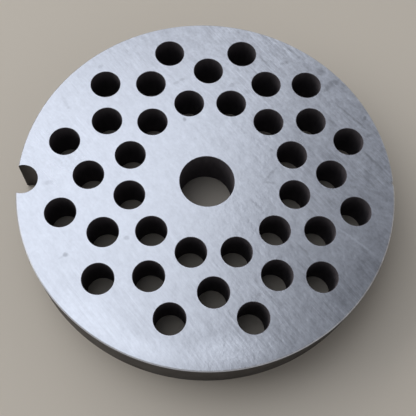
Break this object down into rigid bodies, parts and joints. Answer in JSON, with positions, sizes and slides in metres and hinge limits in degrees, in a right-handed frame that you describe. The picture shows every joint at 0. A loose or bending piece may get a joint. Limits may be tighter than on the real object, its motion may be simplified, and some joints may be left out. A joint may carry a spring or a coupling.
{
  "type": "meat grinder plate",
  "caption": "Flat round steel plate with a central bore, rings of round holes that meat is pressed through, and a half-round key notch in its rim.",
  "frame": {"origin": "centre of the bore, on the back face that the plate lies on", "axes": "+Z along the bore towards the cutting face, -X through the key notch"},
  "size_m": [0.0983, 0.0984, 0.0127],
  "materials": {
    "ground_steel": "ground faces with fine straight lines, dark scale inside the holes"
  },
  "bodies": {
    "root": {"plate": "ground_steel"}
  },
  "joints": []
}
